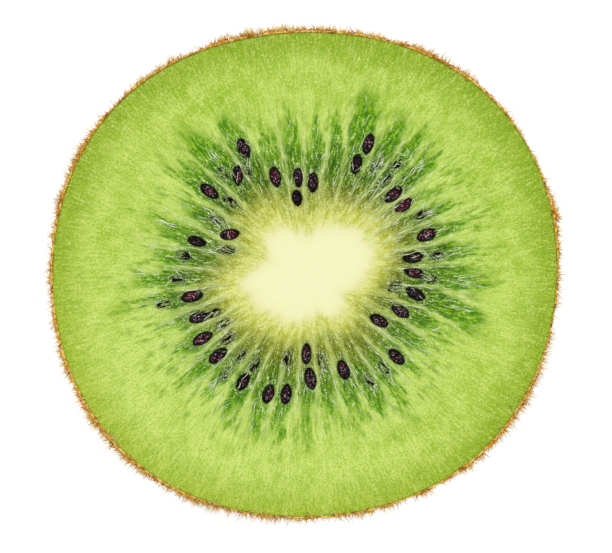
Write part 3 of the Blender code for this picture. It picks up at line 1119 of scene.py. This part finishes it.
def hair_tree():
    """Hairs on a carrier surface: tapered, combed in swirls and bent, each with a tint of its own."""
    inputs = {
        "Density": 2.0,
        "Patchiness": 0.5,
        "Patch Size": 3.5 * MM,
        "Length": 0.8 * MM,
        "Thickness": 0.04 * MM,
        "Stand": 0.5,
        "Bend": 0.3 * MM,
        "Swirl Size": 5 * MM,
        "Ceiling": CUT_HEIGHT + 0.15 * MM,
        "Lowest": -2.0 * MM,
        "At The Cut": 1.0,
        "Untidiness": 0.55,
        "Fringe": 0.0,
        "Seed": 0,
        "Material": None,
    }
    tree, wires = new_tree("kiwi_hairs", inputs)
    seed = wires["Seed"]
    place = add(tree, "GeometryNodeInputPosition", {}, {})
    spread = scaled(place, 1 / MM)
    level = parts(place)[2]

    # Roots, thicker in patches and fewer where the skin is worn at the cut
    patch = noise(spread, maths(tree, "DIVIDE", MM, wires["Patch Size"]), 3.0)
    patch_range = {0: patch, 1: 0.40, 2: 0.62, 3: 1 - wires["Patchiness"], 4: 1.0}
    wanted = add(tree, "ShaderNodeMapRange", {}, patch_range)
    high_enough = level.between(wires["Lowest"], wires["Lowest"] + 1.2 * MM)
    worn = level.between(CUT_HEIGHT - 4.0 * MM, CUT_HEIGHT - 0.5 * MM) * (1 - wires["At The Cut"])
    without_fringe = wires["Fringe"] * (1 - named(tree, "fringe"))
    wanted = wanted * high_enough * (1 - worn) * (1 - without_fringe) * wires["Density"]
    sockets = {"Mesh": wires["Geometry"], "Density": wanted, "Seed": seed}
    roots = add(tree, "GeometryNodeDistributePointsOnFaces", {}, sockets)
    outward = roots.other("Normal")

    # Each hair's direction: partly outwards, partly with the swirls of its neighbours
    swirl = noise(spread, maths(tree, "DIVIDE", MM, wires["Swirl Size"]), 1.0).other("Color")
    swirl = vector_maths("SUBTRACT", swirl, (0.5, 0.5, 0.62))
    stray = scaled(any_vector(tree, seed + 11), wires["Untidiness"])
    combed = vector_maths("MULTIPLY_ADD", swirl, (4.0, 4.0, 4.0), stray)
    flat_part = scaled(combed, 1 - wires["Stand"])
    upright_part = scaled(outward, wires["Stand"] + 0.25)
    direction = vector_maths("NORMALIZE", vector_maths("ADD", flat_part, upright_part))
    aim = add(tree, "FunctionNodeAlignRotationToVector", {"axis": "Z"}, {"Vector": direction})

    # One straight tapered hair, planted on every root
    cone = {"Vertices": HAIR_SIDES, "Side Segments": HAIR_JOINTS, "Radius Bottom": 0.5, "Depth": 1.0}
    hair = add(tree, "GeometryNodeMeshCone", {"fill_type": "NGON"}, {**cone, "Radius Top": 0.0})
    hair = keeping(hair, "along", level)
    own_length = any_number(tree, 0.45, 1.3, seed + 7) * (1 - without_fringe * 0.6) * wires["Length"]
    size = vector(tree, wires["Thickness"], wires["Thickness"], own_length)
    sunk = scaled(outward, -HAIR_ROOT_DEPTH)
    seated = add(tree, "GeometryNodeSetPosition", {}, {"Geometry": roots, "Offset": sunk})
    sockets = {"Points": seated, "Instance": hair, "Rotation": aim, "Scale": size}
    planted = add(tree, "GeometryNodeInstanceOnPoints", {}, sockets)
    tinted = keeping(planted, "tint", any_number(tree, 0.0, 1.0, seed + 3), domain="INSTANCE")
    bent = keeping(tinted, "bend", any_vector(tree, seed + 5), "FLOAT_VECTOR", "INSTANCE")
    real = add(tree, "GeometryNodeRealizeInstances", {}, {0: bent})

    # Bent more and more towards its tip, but never through the floor or over the cut
    along = named(tree, "along")
    droop = scaled(named(tree, "bend", "FLOAT_VECTOR"), along * along * wires["Bend"])
    x, y, tip_level = parts(vector_maths("ADD", place, droop))
    held_level = maths(tree, "MINIMUM", maths(tree, "MAXIMUM", tip_level, 0.0), wires["Ceiling"])
    held = vector(tree, x, y, held_level)
    shaped = add(tree, "GeometryNodeSetPosition", {}, {"Geometry": real, "Position": held})
    charted = keeping(shaped, "OFBake", vector(tree, named(tree, "tint"), along), "FLOAT2", "CORNER")
    return finish_tree(charted, wires["Material"])


def hair_material(name, tints):
    """Dry hairs, each of one tint: golden, ruddy or dark, all of them paler at the tip."""
    material, tree, shader = new_material(name)
    tint, along = stored(tree, "tint"), stored(tree, "along")
    golden, ruddy, dark = [blend_colours(along, colour(*root), colour(*tip)) for root, tip in tints]
    base = layered(golden, (tint.between(0.45, 0.65), ruddy), (tint.between(0.86, 0.92), dark))
    fill(shader, {"Base Color": base, "Roughness": 0.6, "Specular IOR Level": 0.1})
    return material


hair_carrier_rings = outer_rings[2:]
hair_around = np.arange(hair_carrier_rings.shape[0] * SKIN_SEGMENTS).reshape(-1, SKIN_SEGMENTS)
hair_after = np.roll(hair_around, -1, axis=1)
hair_faces = np.stack([hair_around[:-1], hair_after[:-1], hair_after[1:], hair_around[1:]], -1).reshape(-1, 4)
hair_carrier = bpy.data.meshes.new("hair_roots")
hair_carrier.from_pydata(hair_carrier_rings.reshape(-1, 3).tolist(), [], hair_faces.tolist())
fringe_directions, fringe_shares = zip(*FRINGE)
root_bearings = np.degrees(np.arctan2(hair_carrier_rings[..., 1], hair_carrier_rings[..., 0])).ravel() % 360
root_fringe = np.interp(root_bearings, fringe_directions, fringe_shares)
keep(hair_carrier, "fringe", root_fringe)
hair_look = hair_material("kiwi_hair", HAIR_TINTS)
# the fringe's paler material is partly painted light against its own shade
fringe_look = hair_material("kiwi_fringe", FRINGE_TINTS)
for name, values in HAIR_KINDS.items():
    look = fringe_look if "Fringe" in values else hair_look
    hairs = grow(hair_tree(), hair_carrier, {**values, "Material": look}, name)
    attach(hairs, "root")


# ---------------------------------------------------------------------------------------------
# Table, light and camera. A plain white table in even soft light, seen from straight above.
# ---------------------------------------------------------------------------------------------
TABLE_REACH = 6.0
TABLE_GREY = 0.5
TABLE_GLOW = 0.72
SUNS = (
    # heading, height above the table, angular size, strength
    (120, 48, 9, 1.15),
    (20, 50, 20, 0.60),
    (250, 50, 20, 0.60),
)
ROOM_GLOW = 0.45
WHITE = 1.05
FRAME_WIDTH = 61.2 * MM
LENS, SENSOR = 135.0, 36.0

floor_mesh = bpy.data.meshes.new("floor")
floor_corners = [(-TABLE_REACH, -TABLE_REACH, 0), (TABLE_REACH, -TABLE_REACH, 0)]
floor_corners += [(TABLE_REACH, TABLE_REACH, 0), (-TABLE_REACH, TABLE_REACH, 0)]
floor_mesh.from_pydata(floor_corners, [], [(0, 1, 2, 3)])
floor_look, _, floor_shader = new_material("floor")
table_colour = (TABLE_GREY, TABLE_GREY, TABLE_GREY, 1)
fill(floor_shader, {"Base Color": table_colour, "Roughness": 1.0, "Specular IOR Level": 0.0})
fill(floor_shader, {"Emission Color": (1, 1, 1, 1), "Emission Strength": TABLE_GLOW})
floor_mesh.materials.append(floor_look)
floor = show("floor", floor_mesh)

for number, (heading, elevation, spread, strength) in enumerate(SUNS):
    lamp = bpy.data.lights.new(f"soft_light_{number}", "SUN")
    lamp.angle = math.radians(spread)
    lamp.energy = strength
    light = bpy.data.objects.new(f"soft_light_{number}", lamp)
    light.rotation_euler = (math.radians(90 - elevation), 0, math.radians(heading + 90))
    bpy.context.scene.collection.objects.link(light)

world = bpy.data.worlds.new("white_room")
world.use_nodes = True
surroundings = world.node_tree.nodes["Background"]
seen_directly = add(world.node_tree, "ShaderNodeLightPath", {}, {}, out="Is Camera Ray")
brightness = ROOM_GLOW + seen_directly * (WHITE - ROOM_GLOW)
fill(surroundings, {"Color": (1, 1, 1, 1), "Strength": brightness})
bpy.context.scene.world = world

camera_data = bpy.data.cameras.new("camera")
camera_data.lens = LENS
camera_data.sensor_width = SENSOR
camera_data.clip_start = 0.01
camera_data.clip_end = 20
camera = bpy.data.objects.new("camera", camera_data)
camera.location = (0.1 * MM, -0.2 * MM, CUT_HEIGHT + FRAME_WIDTH * LENS / SENSOR)
bpy.context.scene.collection.objects.link(camera)
bpy.context.scene.camera = camera
bpy.context.scene.view_settings.view_transform = "Standard"
